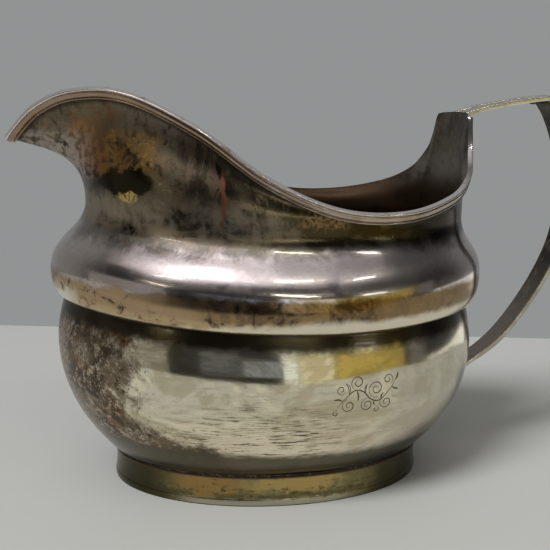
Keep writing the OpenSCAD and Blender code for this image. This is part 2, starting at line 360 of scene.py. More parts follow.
def bar_faces(rows):
    """The faces of a bar: each row is a closed outline, with a flat face over each end."""
    cols, count = len(rows[0]), len(rows)
    sides = [tuple(reversed(face)) for face in quads(count, cols)]
    far_end = tuple((count - 1) * cols + i for i in reversed(range(cols)))
    return sides + [tuple(range(cols)), far_end]


def swept_mesh(name, rows):
    return add_mesh(name, flat(rows), bar_faces(rows))


# ---- pieces ----

# The height of the waves in the sheet, and how many there are in a millimetre.
BOWL_WAVE, BODY_WAVE, WAVES = 0.12, 0.1, 0.06


def waviness(height):
    """The slight unevenness of hand-raised sheet, as a function of the point."""
    def amount(p):
        return height * noise.noise(p * WAVES)
    return amount


bowl_wave = waviness(BOWL_WAVE)


def make_bowl():
    """The lower bowl: its outside, its inside and a fan of faces over the middle of each."""
    outer = moved(bowl_grid(), bowl_wave)
    inner = moved(outer, lambda p: -SHEET)
    count = len(outer)
    rows = outer + inner[::-1]
    points = flat(rows) + [Vector((0, 0, BOWL_BOTTOM)), Vector((0, 0, BOWL_BOTTOM + SHEET))]
    faces = quads(2 * count, COLUMNS)
    middle = 2 * count * COLUMNS
    last = middle - COLUMNS
    for i in range(COLUMNS):
        n = (i + 1) % COLUMNS
        faces.append((middle, n, i))
        faces.append((middle + 1, last + i, last + n))
    piece = add_mesh("bowl_shell", points, faces)
    for face in piece.data.polygons:
        face.material_index = 1 if min(face.vertices) >= count * COLUMNS else 0
    store_levels(piece)
    return piece


# ---- the engraved ornament: a leafy scroll, cut as lines of changing width ----

SCROLL_X, SCROLL_Z = 12.3, 27.3
SCROLL_SIZE = 0.85
STEM_WIDTH, CURL_WIDTH, LEAF_WIDTH = 0.26, 0.21, 0.17
# How far a line stands out of the silver, so that it shows, and how far it goes in.
LINE_PROUD, LINE_DEPTH = 0.012, 0.05
# How much a curl closes in, how much a leaf's two sides bow, and the share of it on each side.
CURL_CLOSING, LEAF_BOW, LEAF_SIDES = 0.82, 0.45, (1, 0.35)
STEM = [(-7.6, -2.6), (-5.6, -0.4), (-3.2, 1.5), (-0.8, 1.0), (1.4, -1.2), (4.0, -1.7),
        (7.0, 1.2), (8.2, 3.2)]
# Each curl: where its middle is, its size, how far it turns, and its starting angle.
CURLS = [(-4.6, -2.4, 1.9, 560, 100), (-2.4, 3.5, 2.0, -600, -60), (0.4, -2.6, 1.9, 600, 65),
         (2.7, 1.4, 2.3, -620, -75), (5.7, -2.6, 1.9, 560, 105), (-6.7, 1.9, 1.3, -500, -30),
         (6.0, 3.4, 1.5, 520, 300), (-7.9, -4.2, 0.9, 430, 60), (3.0, -4.2, 0.9, -460, 100)]
# Each leaf: its root, its tip, and how far it bows to one side.
LEAVES = [(-6.3, -1.0, -8.6, -0.6, 0.4), (-4.6, 0.6, -5.6, 3.6, 0.5), (-0.2, 0.4, 0.2, 3.0, -0.4),
          (2.2, -1.7, 2.6, -3.0, 0.4), (7.2, 1.4, 9.2, 0.6, 0.4), (-2.6, 1.5, -2.2, -1.4, -0.3),
          (8.0, 2.8, 8.8, 5.0, 0.4), (4.2, -1.6, 4.9, 0.2, -0.4)]


def bowl_at(x, z):
    """The point and the way out at x and height z on the front of the bowl."""
    def point(across, level):
        half = bowl_half(level)
        turn = math.degrees(math.acos((across - BOWL_SHIFT) / half))
        return body_point(half, level, -turn)
    # The dip lowers the front; its share is read a little above z, nearer to the level sought.
    level = z + SEAM_DIP * ease(DIP_START, SEAM_Z, z + 0.8)
    here = point(x, level)
    out = (point(x + 0.3, level) - here).cross(point(x, level + 0.3) - here).normalized()
    return here + bowl_wave(here) * out, out


def engraved_line(points, width):
    """A sliver along points, (x, z) from the middle of the scroll, tapering to both ends."""
    count = len(points) - 1
    rows = []
    for k, (x, z) in enumerate(points):
        here, out = bowl_at(SCROLL_X + x, SCROLL_Z + z)
        before, after = points[max(0, k - 1)], points[min(count, k + 1)]
        ahead = (bowl_at(SCROLL_X + after[0], SCROLL_Z + after[1])[0]
                 - bowl_at(SCROLL_X + before[0], SCROLL_Z + before[1])[0]).normalized()
        side = out.cross(ahead) * width * (0.25 + 0.75 * math.sin(math.pi * k / count)) / 2
        proud, deep = out * LINE_PROUD, out * LINE_DEPTH
        rows.append([here - side + proud, here + side + proud,
                     here + side - deep, here - side - deep])
    return rows


def scroll_lines():
    """Every line of the scroll, with its width."""
    stem = [tuple(through(STEM, t)) for t in steps(60)]
    lines = [(stem, STEM_WIDTH)]
    for x, z, size, sweep, start in CURLS:
        spiral = []
        for t in steps(40):
            turn = math.radians(start + sweep * t)
            reach = size * (1 - CURL_CLOSING * t)
            spiral.append((x + reach * math.cos(turn), z + reach * math.sin(turn)))
        lines.append((spiral, CURL_WIDTH))
    for x0, z0, x1, z1, bow in LEAVES:
        for side in LEAF_SIDES:
            leaf = []
            for t in steps(14):
                bulge = side * bow * LEAF_BOW * math.sin(math.pi * t)
                leaf.append((mix(x0, x1, t) + bulge * (z1 - z0), mix(z0, z1, t) - bulge * (x1 - x0)))
            lines.append((leaf, LEAF_WIDTH))
    return lines


def make_scroll():
    points, faces = [], []
    for line, width in scroll_lines():
        rows = engraved_line([(SCROLL_SIZE * x, SCROLL_SIZE * z) for x, z in line], width)
        first = len(points)
        points += flat(rows)
        faces += [tuple(first + i for i in face) for face in bar_faces(rows)]
    return add_mesh("engraved_scroll", points, faces)


def make_body(grid):
    """The upper body, with one material outside, one on the mouth edge and one inside."""
    inner = moved(grid, lambda p: -SHEET)
    piece = loop_mesh("body_shell", grid + inner[::-1])
    rows = len(grid)
    for face in piece.data.polygons:
        row = face.index // COLUMNS
        face.material_index = 0 if row < rows - 1 else 1 if row < rows else 2
    # How far each point is below the mouth edge, in millimetres.
    below = []
    for row in grid + grid[::-1]:
        below += [(edge - p).length for edge, p in zip(grid[-1], row)]
    store(piece, "below_edge", below)
    store_levels(piece)
    return piece


# The wire's reeds: where each starts and ends, as shares of the height, and how proud it is.
WIRE_REEDS = [(0.0, 0.2, 1.0), (0.22, 0.78, 0.95), (0.84, 1.0, 0.8)]


def wire_section():
    points = [(0.0, 0.0)]
    for start, end, proud in WIRE_REEDS:
        for k in range(9):
            turn = math.pi * (k + 0.5) / 9
            down = mix(start, end, (1 - math.cos(turn)) / 2)
            points.append((proud * (0.55 + 0.45 * math.sin(turn)), down))
    return points + [(0.0, 1.0)]


def make_wire(grid):
    """The reeded wire under the mouth edge, from one side of the handle round to the other."""
    section = wire_section()
    rows = []
    for i in range(CORNER, COLUMNS - CORNER + 1):
        edge = grid[-1][i]
        down = (grid[-2][i] - edge).normalized()
        along = (grid[-1][(i + 1) % COLUMNS] - grid[-1][i - 1]).normalized()
        out = down.cross(along).normalized()
        rows.append([edge + out * (w * WIRE_T) + down * (s * WIRE_H) for w, s in section])
    piece = swept_mesh("reeded_wire", rows)
    # How far down the wire each point is, as a share of its height.
    store(piece, "across", [s for _ in rows for _, s in section])
    return piece


def collar_mesh(name, section):
    """An oval collar from its section: (distance in from the foot's oval, height)."""
    rows = [[Vector((*oval(FOOT_A - d, FOOT_B - d, angle), z)) for angle in ANGLES]
            for d, z in section]
    return loop_mesh(name, rows)


# How far the foot's wall is hollowed between its two edges.
FOOT_HOLLOW = 0.15


def make_foot():
    z0, z1 = BASE_WIRE_H, FOOT_TOP
    outside = [(FOOT_HOLLOW * math.sin(math.pi * t), mix(z0, z1, t)) for t in steps(10)]
    return collar_mesh("foot_collar", outside + [(FOOT_WALL, z1), (FOOT_WALL, z0)])


def make_base_wire():
    r = BASE_WIRE_H / 2
    bow = [(-BASE_WIRE_PROUD * math.sin(math.pi * t) ** 0.6, 2 * r * t) for t in steps(12)]
    return collar_mesh("base_wire", bow + [(FOOT_WALL, 2 * r), (FOOT_WALL, 0)])


# The solder's section on the foot, as (distance in from the foot's oval, rise over it), and on
# the bowl, as (distance out from the bowl, rise over the foot).
FILLET_ON_FOOT = [(0.3, 0.0), (0.1, 0.0), (0.05, 0.2), (-0.1, 0.35)]
FILLET_ON_BOWL = [(0.1, 0.6), (-0.15, 0.3)]
FILLET_WAVE = 0.06


def unevenness(angle):
    """Between -1 and 1, and smooth all the way round."""
    turn = math.radians(angle)
    return noise.noise(Vector((math.cos(turn) * 9, math.sin(turn) * 9, 3.1)))


def make_foot_solder():
    rows = []
    for inset, rise in FILLET_ON_FOOT:
        height = FILLET_WAVE if rise > 0 else 0
        rows.append([Vector((*oval(FOOT_A - inset, FOOT_B - inset, angle),
                             FOOT_TOP + rise + height * unevenness(angle))) for angle in ANGLES])
    for proud, rise in FILLET_ON_BOWL:
        z = FOOT_TOP + rise
        rows.append(ring(bowl_half(z) + proud, z))
    return loop_mesh("foot_fillet", rows)


# The radius of the reeds along the strap's edges, and its width where the bow starts.
REED = 0.55
STRAP_CORNER_W = mix(STRAP_TOP_W, STRAP_LOW_W, 0.2)


def reed_points(middle):
    return [(middle + REED * math.cos(math.pi * t), 0.22 + 0.28 * math.sin(math.pi * t))
            for t in steps(6)]


def strap_section(width):
    """Half-round reeds along both edges and a low swell between them.

    Each point is (millimetres across, share of the thickness out from the middle).
    """
    half = width / 2
    inner = half - 2 * REED
    back = [(-half + 0.15, -0.5), (half - 0.15, -0.5), (half, -0.35)]
    swell = [(mix(inner, -inner, t), 0.2 + 0.16 * math.sin(math.pi * t)) for t in steps(6)]
    return back + reed_points(half - REED) + swell + reed_points(-half + REED) + [(-half, -0.35)]


def strap_row(inside, outside, width):
    """The strap's section between a point of its inner face and one of its outer face."""
    middle, thick = (inside + outside) / 2, outside - inside
    return [Vector((middle.x + thick.x * v, u, middle.y + thick.y * v))
            for u, v in strap_section(width)]


def make_top_strap():
    rows = []
    for t in steps(80):
        p = through(TOP_LINE, t)
        q = through(TOP_LINE, min(1, t + 0.01)) - through(TOP_LINE, max(0, t - 0.01))
        up = STRAP_T / 2 * Vector((-q.y, q.x)).normalized()
        rows.append(strap_row(p - up, p + up, mix(STRAP_TOP_W, STRAP_CORNER_W, t)))
    return swept_mesh("strap_top", rows)


def make_bow():
    rows = [strap_row(through(BOW_INNER, t), through(BOW_OUTER, t),
                      mix(STRAP_CORNER_W, STRAP_LOW_W, t)) for t in steps(140)]
    piece = swept_mesh("strap_bow", rows)
    # The first face of each row is on the side towards the body.
    for face in piece.data.polygons:
        face.material_index = 1 if face.index % len(rows[0]) == 0 else 0
    return piece


# ---- materials ----

COAT_IOR = 1.9
# Where a Mix node keeps its first input and its output, for each kind of value.
MIX_SOCKETS = {"FLOAT": (2, 0), "RGBA": (6, 2)}


def set_inputs(node, values):
    for name, value in values.items():
        node.inputs[name].default_value = value


def smooth_step(tree, value, lo, hi, first=0.0, last=1.0):
    """First below lo, last above hi, and smooth between them. Lo may be above hi."""
    node = tree.nodes.new("ShaderNodeMapRange")
    node.interpolation_type = "SMOOTHSTEP"
    tree.links.new(value, node.inputs["Value"])
    set_inputs(node, {"From Min": lo, "From Max": hi, "To Min": first, "To Max": last})
    return node.outputs[0]


class Surface:
    """A metal built from layers of tarnish; masks read the place on the object in millimetres."""

    def __init__(self, name, color, rough, coat=0.0, coat_rough=0.04):
        self.material = bpy.data.materials.new(name)
        self.material.use_nodes = True
        self.tree = self.material.node_tree
        self.shader = self.tree.nodes["Principled BSDF"]
        set_inputs(self.shader, {"Metallic": 1.0, "Coat Weight": coat, "Coat IOR": COAT_IOR,
                                 "Coat Roughness": coat_rough})
        place = self.tree.nodes.new("ShaderNodeTexCoord").outputs["Object"]
        self.place = self.vector("SCALE", place, scale=1 / MM)
        split = self.tree.nodes.new("ShaderNodeSeparateXYZ")
        self.join(self.place, split.inputs[0])
        self.x, self.y, self.z = split.outputs
        self.color, self.rough = color, rough

    def join(self, source, socket):
        """Feed a socket from another node, or set it to a number, a vector or a colour."""
        if isinstance(source, bpy.types.NodeSocket):
            self.tree.links.new(source, socket)
        elif hasattr(source, "__len__") and len(socket.default_value) > len(source):
            socket.default_value = (*source, 1.0)
        else:
            socket.default_value = source

    def vector(self, operation, a, b=None, scale=None):
        node = self.tree.nodes.new("ShaderNodeVectorMath")
        node.operation = operation
        self.join(a, node.inputs[0])
        if b is not None:
            self.join(b, node.inputs[1])
        if scale is not None:
            self.join(scale, node.inputs["Scale"])
        return node.outputs["Value" if operation == "LENGTH" else "Vector"]

    def math(self, operation, *values):
        node = self.tree.nodes.new("ShaderNodeMath")
        node.operation = operation
        for value, socket in zip(values, node.inputs):
            self.join(value, socket)
        return node.outputs[0]

    def times(self, *values):
        result = values[0]
        for value in values[1:]:
            result = self.math("MULTIPLY", result, value)
        return result

    def plus(self, a, b, share=1.0):
        """a + b * share."""
        return self.math("MULTIPLY_ADD", b, share, a)

    def ease(self, value, lo, hi, first=0.0, last=1.0):
        return smooth_step(self.tree, value, lo, hi, first, last)

    def noise(self, scale, detail=5.0, rough=0.55, stretch=(1, 1, 1), distort=0.0, shift=0.0,
              output="Fac"):
        """Fractal noise with features about 1/scale millimetres across."""
        node = self.tree.nodes.new("ShaderNodeTexNoise")
        place = self.vector("MULTIPLY_ADD", self.place, stretch)
        place.node.inputs[2].default_value = (shift, -shift, shift)
        self.join(place, node.inputs["Vector"])
        set_inputs(node, {"Scale": scale, "Detail": detail, "Roughness": rough, "Distortion": distort})
        return node.outputs[output]

    def warp(self, scale, reach, detail=5.0):
        """The place moved about by up to half of reach, so that masks get ragged edges."""
        drift = self.noise(scale, detail, 0.65, output="Color")
        drift = self.vector("SUBTRACT", drift, (0.5, 0.5, 0.5))
        return self.vector("ADD", self.place, self.vector("SCALE", drift, scale=reach))

    def patch(self, place, centre, radii, soft=0.3):
        """1 inside an oval region, 0 outside."""
        away = self.vector("DIVIDE", self.vector("SUBTRACT", place, centre), radii)
        return self.ease(self.vector("LENGTH", away), 1.0 - soft, 1.0 + soft, 1.0, 0.0)

    def blend(self, factor, a, b, kind):
        node = self.tree.nodes.new("ShaderNodeMix")
        node.data_type = kind
        first, output = MIX_SOCKETS[kind]
        self.join(factor, node.inputs[0])
        self.join(a, node.inputs[first])
        self.join(b, node.inputs[first + 1])
        return node.outputs[output]

    def stored(self, name):
        """A number kept with the points of the mesh."""
        node = self.tree.nodes.new("ShaderNodeAttribute")
        node.attribute_name = name
        return node.outputs["Fac"]

    def hairs(self, scale, shift, fineness=0.003):
        """Thin winding scratches, where a smooth noise crosses its middle."""
        wave = self.math("SUBTRACT", self.noise(scale, 2.0, 0.4, distort=0.8, shift=shift), 0.5)
        return self.ease(self.math("ABSOLUTE", wave), fineness, fineness * 0.4)

    def lay(self, masks, color=None, rough=None):
        """Lay one more film over what is there, as far as its mask or all its masks let it."""
        mask = self.times(*masks) if isinstance(masks, tuple) else masks
        if color is not None:
            self.color = self.blend(mask, self.color, color, "RGBA")
        if rough is not None:
            self.rough = self.blend(mask, self.rough, rough, "FLOAT")

    def stain(self, place, centre, radii, color, rough, share=1.0, grain=None, soft=0.3):
        """Lay a film over an oval region, broken up by grain where that is given."""
        region = self.patch(place, centre, radii, soft)
        if grain is not None:
            region = self.times(region, grain)
        self.lay((region, share), color, rough)

    def bump(self, height, strength, distance):
        """Relief of up to distance, in millimetres."""
        node = self.tree.nodes.new("ShaderNodeBump")
        set_inputs(node, {"Strength": strength, "Distance": distance * MM})
        self.join(height, node.inputs["Height"])
        self.join(node.outputs["Normal"], self.shader.inputs["Normal"])

    def finish(self):
        self.join(self.color, self.shader.inputs["Base Color"])
        self.join(self.rough, self.shader.inputs["Roughness"])
        return self.material


def bowl_silver():
    s = Surface("bowl_silver", (0.74, 0.69, 0.53), 0.08, coat=0.06)
    level = s.stored("level")
    cloud = s.noise(0.06, 6, 0.6, distort=0.6)
    fine = s.noise(0.45, 7, 0.65)
    grit = s.noise(1.1, 6, 0.7, shift=3.0)
    mottle = s.noise(0.2, 8, 0.7, distort=0.7, shift=11.0)
    brushed = s.noise(0.5, 5, 0.65, stretch=(0.2, 0.2, 2.4), shift=21.0)
    ragged = s.warp(0.16, 9.0, 8.0)
    s.lay(s.ease(cloud, 0.42, 0.62), (0.80, 0.75, 0.60), 0.12)
    s.lay((s.ease(s.z, 27, 15), 0.8), (0.92, 0.79, 0.57), 0.18)
    s.lay(s.ease(brushed, 0.46, 0.72, 0, 0.55), (0.52, 0.45, 0.31), 0.22)
    film = s.noise(0.09, 7, 0.62, distort=1.2, stretch=(0.7, 0.7, 1.3), shift=51.0)
    s.lay((s.ease(film, 0.50, 0.56), 0.6), (0.52, 0.45, 0.295), 0.15)
    s.lay((s.ease(film, 0.47, 0.41), 0.85), (0.99, 0.90, 0.68), 0.09)
    s.lay((s.ease(mottle, 0.52, 0.64), s.ease(s.x, -5, 8), 0.35), (0.58, 0.50, 0.27), 0.16)
    s.lay((s.ease(s.plus(s.x, cloud, 30), 22, 40), 0.55), (0.50, 0.47, 0.38), 0.16)
    s.lay((s.hairs(0.11, 5.0), s.ease(fine, 0.48, 0.54), 0.4), (0.35, 0.29, 0.2), 0.26)
    s.stain(ragged, (2, -35, 22), (15, 16, 6), (0.62, 0.54, 0.34), 0.16, 0.45, soft=0.5)
    s.stain(ragged, (-14, -35, 14.5), (17, 16, 3.6), (0.98, 0.86, 0.66), 0.2, 0.7, soft=0.5)
    # Dark strokes where the film has been scratched away, low on the front.
    strokes = s.noise(1.0, 7, 0.75, stretch=(0.2, 0.2, 3.0), distort=0.25, shift=7.0)
    worn = s.patch(ragged, (-9, -35, 17.5), (18, 16, 8.5), 0.45)
    s.lay((s.ease(strokes, 0.46, 0.40), worn, 0.95), (1.0, 0.92, 0.76), 0.2)
    s.lay((s.ease(strokes, 0.53, 0.57), s.ease(mottle, 0.40, 0.48), worn, 0.94),
          (0.09, 0.06, 0.03), 0.3)
    s.lay((s.ease(grit, 0.67, 0.72), 0.85), (0.16, 0.11, 0.06), 0.3)
    s.lay((s.ease(mottle, 0.66, 0.72), 0.8), (0.22, 0.17, 0.09), 0.3)
    # The spout end is dark and mottled.
    wander = s.math("SUBTRACT", s.noise(0.1, 9, 0.72, distort=0.4), 0.5)
    edge = s.plus(s.plus(s.x, wander, 30.0), s.ease(s.z, 23, 11, 36.5, 17.0))
    end = s.ease(edge, -2.0, 2.5, 1.0, 0.0)
    s.lay((end, 0.94), (0.15, 0.105, 0.065), 0.26)
    s.lay((end, s.ease(mottle, 0.50, 0.60), 0.8), (0.34, 0.29, 0.22), 0.42)
    rusty = s.noise(0.13, 5, 0.6, shift=31.0)
    s.lay((end, s.ease(rusty, 0.54, 0.62), 0.8), (0.26, 0.12, 0.04), 0.3)
    s.lay((end, s.ease(grit, 0.56, 0.63), 0.75), (0.60, 0.46, 0.34), 0.42)
    s.lay((end, s.ease(cloud, 0.50, 0.42), 0.85), (0.055, 0.042, 0.025), 0.25)
    flecks = s.noise(0.8, 9, 0.78, distort=0.3, shift=71.0)
    s.lay((end, s.ease(flecks, 0.52, 0.57), s.ease(mottle, 0.44, 0.52), 0.8),
          (0.70, 0.58, 0.44), 0.36)
    s.lay((end, s.ease(flecks, 0.46, 0.41), 0.8), (0.04, 0.03, 0.018), 0.25)
    s.lay((s.ease(edge, 7, 1), s.ease(grit, 0.55, 0.62), 0.7), (0.14, 0.09, 0.05), 0.3)
    # Tarnish in the seam, and below it a dark band of painted shade and painted dark reflection under
    # the bulge's overhang.
    seam = s.ease(s.plus(level, fine, 3.0), 39.3, 41.6)
    s.lay((seam, 0.96), (0.045, 0.034, 0.017), 0.22)
    # Darker low on the bowl towards the foot: painted shade, a painted reflection of the shadow on the
    # table beside the foot.
    over_foot = s.plus(s.plus(s.z, s.noise(0.2, 5, 0.6), 3.0), s.ease(s.x, -4, -24), -1.6)
    foot = s.ease(over_foot, 15.6, 13.4)
    s.lay((foot, 0.94), (0.095, 0.08, 0.042), 0.22)
    # Painted shade in the crease where the bowl meets the foot.
    s.lay(s.ease(s.z, 8.0, 7.3), (0.05, 0.035, 0.02), 0.4)
    s.bump(s.plus(s.times(brushed, 0.25), s.noise(0.13, 4, 0.5)), 0.2, 0.1)
    return s.finish()


def body_silver():
    s = Surface("body_silver", (0.68, 0.61, 0.61), 0.13, coat_rough=0.02)
    level = s.stored("level")
    cloud = s.noise(0.08, 6, 0.6, distort=0.8)
    fine = s.noise(0.5, 7, 0.65)
    grit = s.noise(1.2, 6, 0.7, shift=3.0)
    mottle = s.noise(0.17, 8, 0.7, distort=0.6, shift=13.0)
    tone = s.noise(0.1, 6, 0.6, distort=0.5, shift=23.0)
    ragged = s.warp(0.22, 7.0, 8.0)
    s.lay((s.ease(cloud, 0.44, 0.6), 0.5), (0.58, 0.52, 0.50), 0.17)
    s.lay(s.ease(fine, 0.5, 0.75, 0, 0.5), (0.48, 0.41, 0.38), 0.22)
    s.lay(s.ease(s.plus(s.x, cloud, 20), 14, 26, 0, 0.75), (0.46, 0.40, 0.365), 0.18)
    s.lay(s.ease(s.plus(s.x, cloud, 20), -22, -32, 0, 0.6), (0.42, 0.34, 0.27), 0.18)
    s.lay((s.hairs(0.12, 2.0), s.ease(fine, 0.48, 0.54), 0.35), (0.9, 0.83, 0.83), 0.3)
    specks = s.noise(2.0, 6, 0.72, stretch=(0.6, 0.6, 1.2), shift=81.0)
    s.lay((s.ease(specks, 0.55, 0.62), s.ease(mottle, 0.46, 0.56), 0.45),
          (0.86, 0.80, 0.78), 0.3)
    s.lay((s.ease(specks, 0.45, 0.39), s.ease(tone, 0.46, 0.54), 0.35), (0.30, 0.25, 0.22), 0.28)
    # A duller band along the upper half of the bulge.
    dull = s.times(s.ease(level, 50.6, 51.6), s.ease(level, 56.6, 55.4))
    s.lay((dull, s.ease(tone, 0.40, 0.52)), rough=0.26)
    # The underside of the bulge is brown: its tarnish, deepened by painted shade under the bulge and a
    # painted warm reflection of the bowl below it, with a bright strip over the seam.
    under = s.ease(s.plus(s.plus(level, mottle, 4.0), s.ease(s.x, -22, -44), 1.6), 52.7, 51.3)
    blot = s.noise(0.26, 8, 0.7, distort=0.9, shift=41.0)
    s.lay((under, 0.96), (0.19, 0.125, 0.06), 0.17)
    s.lay((under, s.ease(blot, 0.5, 0.56), 0.85), (0.36, 0.24, 0.115), 0.2)
    s.lay((under, s.ease(blot, 0.47, 0.42), 0.85), (0.075, 0.048, 0.025), 0.18)
    right = s.ease(s.plus(s.x, mottle, 16), 18, 26)
    s.lay((under, right, 0.6), (0.34, 0.23, 0.12), 0.18)
    left = s.ease(s.plus(s.x, mottle, 16), -8, -20)
    s.lay((under, left, s.ease(blot, 0.38, 0.46), 0.75), (0.50, 0.355, 0.215), 0.2)
    s.lay((under, s.ease(level, 45.6, 44.4), s.ease(blot, 0.40, 0.52), 0.7),
          (0.62, 0.47, 0.27), 0.2)
    s.lay((under, s.ease(grit, 0.60, 0.68), 0.3), (0.08, 0.055, 0.03), 0.24)
    rise = s.ease(s.x, -30, 4, 0.6, 3.0)
    strip = s.ease(s.math("SUBTRACT", s.plus(level, mottle, 3.0), rise), 44.8, 43.0)
    s.lay((strip, 0.94), (0.90, 0.82, 0.66), 0.16)
    s.stain(ragged, (-47, 0, 45), (3.4, 16, 2.6), (0.84, 0.80, 0.68), 0.2, 0.9)
    s.lay(s.ease(s.plus(level, fine, 0.8), 43.15, 42.85), (0.12, 0.09, 0.05), 0.35)
    # The neck is dark, with patches of every colour of tarnish towards the spout.
    neck = s.ease(s.plus(s.plus(level, mottle, 7.0), s.ease(s.x, 4, -20), 1.6), 60.6, 64.6)
    s.lay((neck, 0.97), (0.12, 0.095, 0.06), 0.22)
    s.lay((neck, s.ease(tone, 0.5, 0.58), 0.8), (0.09, 0.085, 0.05), 0.26)
    s.lay((neck, s.ease(cloud, 0.52, 0.44), 0.9), (0.05, 0.042, 0.026), 0.18)
    s.lay((neck, s.ease(s.x, 14, 30), 0.9), (0.03, 0.027, 0.018), 0.22)
    s.lay((neck, s.ease(grit, 0.60, 0.68), 0.5), (0.26, 0.19, 0.11), 0.4)
    streaks = s.noise(0.35, 7, 0.68, stretch=(1.0, 1.0, 0.3), distort=0.5, shift=61.0)
    flank = s.times(neck, s.ease(s.x, 2, -8))
    s.lay((flank, s.ease(streaks, 0.52, 0.60), 0.75), (0.20, 0.15, 0.10), 0.34)
    s.lay((flank, s.ease(streaks, 0.46, 0.40), 0.8), (0.06, 0.035, 0.02), 0.26)
    haze = s.times(s.ease(level, 69, 65), s.ease(level, 58, 61), s.ease(s.x, -2, -14))
    s.lay((haze, s.ease(mottle, 0.34, 0.56), 0.75), (0.44, 0.37, 0.27), 0.4)
    broken = s.ease(fine, 0.42, 0.54)
    thin = s.ease(fine, 0.38, 0.52)
    s.stain(ragged, (-41, -14, 79), (6.5, 14, 7), (0.17, 0.10, 0.05), 0.34, 0.8)
    s.stain(ragged, (-41, -14, 74), (5, 12, 4), (0.36, 0.16, 0.05), 0.4, 0.8, broken)
    s.stain(ragged, (-44, -12, 80), (3.0, 10, 2.2), (0.30, 0.155, 0.06), 0.4, 0.75, thin)
    s.stain(ragged, (-31, -21, 79.5), (6.5, 14, 5.5), (0.22, 0.19, 0.145), 0.4, 0.75, thin)
    s.stain(ragged, (-28, -22, 71), (4.5, 14, 7), (0.19, 0.155, 0.10), 0.38, 0.6,
            s.ease(fine, 0.40, 0.52))
    s.stain(ragged, (-42, -14, 84), (3.5, 12, 1.8), (0.18, 0.165, 0.11), 0.4, 0.5, broken)
    gold = s.times(s.patch(ragged, (-34, -19, 75.5), (6.0, 12, 4.6)), s.ease(mottle, 0.40, 0.52))
    s.lay((gold, 0.85), (0.30, 0.17, 0.06), 0.4)
    s.lay((gold, s.ease(grit, 0.5, 0.62), 0.75), (0.46, 0.31, 0.12), 0.4)
    s.lay((gold, s.ease(fine, 0.48, 0.40), 0.9), (0.06, 0.05, 0.03), 0.3)
    # A painted reflection: a dark patch with a sharp corner on the neck, and below it a small painted
    # golden glint.
    s.stain(ragged, (-35.5, -18, 69.5), (6.0, 12, 2.8), (0.035, 0.03, 0.018), 0.2, 0.95, soft=0.12)
    s.stain(s.warp(0.5, 2.5), (-35, -19, 66.4), (1.8, 10, 1.1), (0.80, 0.58, 0.22), 0.36,
            grain=s.ease(grit, 0.42, 0.5), soft=0.2)
    lip = s.times(s.ease(s.y, -13, -6), s.ease(s.x, -33, -40), s.ease(s.z, 66, 71),
                  s.ease(s.z, 81, 77.5))
    s.lay((lip, s.ease(fine, 0.42, 0.55), 0.8), (0.40, 0.34, 0.30), 0.4)
    s.stain(s.warp(0.25, 3.0), (-16.8, -26, 67.0), (0.55, 14, 5.4), (0.34, 0.11, 0.065), 0.36, 0.75,
            soft=0.5)
    s.stain(ragged, (4, -29, 63), (6, 10, 2.2), (0.30, 0.20, 0.10), 0.4, 0.8, s.ease(grit, 0.42, 0.56))
    # Painted shadow of the wire: a dark band just below the mouth edge.
    s.lay(s.ease(s.plus(s.stored("below_edge"), fine, 1.5), 4.6, 3.4, 0, 0.9), (0.04, 0.034, 0.024), 0.3)
    # Only the bulge still has its hard polish.
    polish = s.times(s.ease(level, 60.5, 58.5, 0.0, 0.9), s.ease(level, 49.2, 50.2))
    s.join(polish, s.shader.inputs["Coat Weight"])
    s.bump(s.plus(s.times(s.noise(0.5, 3, 0.6, stretch=(0.15, 0.15, 4.0), shift=2.0), 0.2),
                  s.noise(0.14, 4, 0.5)), 0.22, 0.1)
    return s.finish()


def inside_silver():
    """Never polished: brown and nearly black."""
    s = Surface("inside_silver", (0.15, 0.125, 0.095), 0.32)
    s.lay(s.ease(s.noise(0.12, 7, 0.65, distort=0.5), 0.42, 0.6), (0.08, 0.065, 0.045), 0.36)
    s.lay((s.ease(s.noise(0.5, 7, 0.7), 0.54, 0.64), 0.6), (0.24, 0.20, 0.14), 0.4)
    s.lay((s.ease(s.z, 78, 72), s.ease(s.x, 20, 34), 0.7), (0.30, 0.26, 0.22), 0.4)
    s.lay(s.ease(s.z, 71, 65, 0, 0.92), (0.105, 0.064, 0.036), 0.5)
    s.lay((s.ease(s.noise(0.3, 7, 0.7, shift=9.0), 0.5, 0.62), 0.6), (0.07, 0.055, 0.04), 0.4)
    s.bump(s.noise(0.3, 5, 0.6), 0.25, 0.1)
    return s.finish()


def wire_silver():
    """The top reed is lighter, worn bright by handling and painted as a highlight from above; the others
    are brown.
    """
    s = Surface("wire_silver", (0.86, 0.80, 0.78), 0.16, coat=0.3)
    below = s.ease(s.stored("across"), 0.17, 0.24)
    s.lay((below, 0.9), (0.46, 0.38, 0.32), 0.2)
    s.lay((below, s.ease(s.noise(0.12, 5, 0.6), 0.42, 0.58), 0.8), (0.33, 0.25, 0.19), 0.24)
    s.lay((below, s.ease(s.x, 0, -24), 0.75), (0.31, 0.195, 0.115), 0.22)
    s.lay((s.ease(s.noise(0.22, 5, 0.65, shift=4.0), 0.60, 0.68), 0.75), (0.50, 0.29, 0.14), 0.28)
    s.lay((s.ease(s.noise(0.7, 6, 0.65, shift=8.0), 0.58, 0.68), 0.4), (0.25, 0.20, 0.16), 0.3)
    s.bump(s.noise(0.3, 4, 0.6), 0.2, 0.05)
    return s.finish()


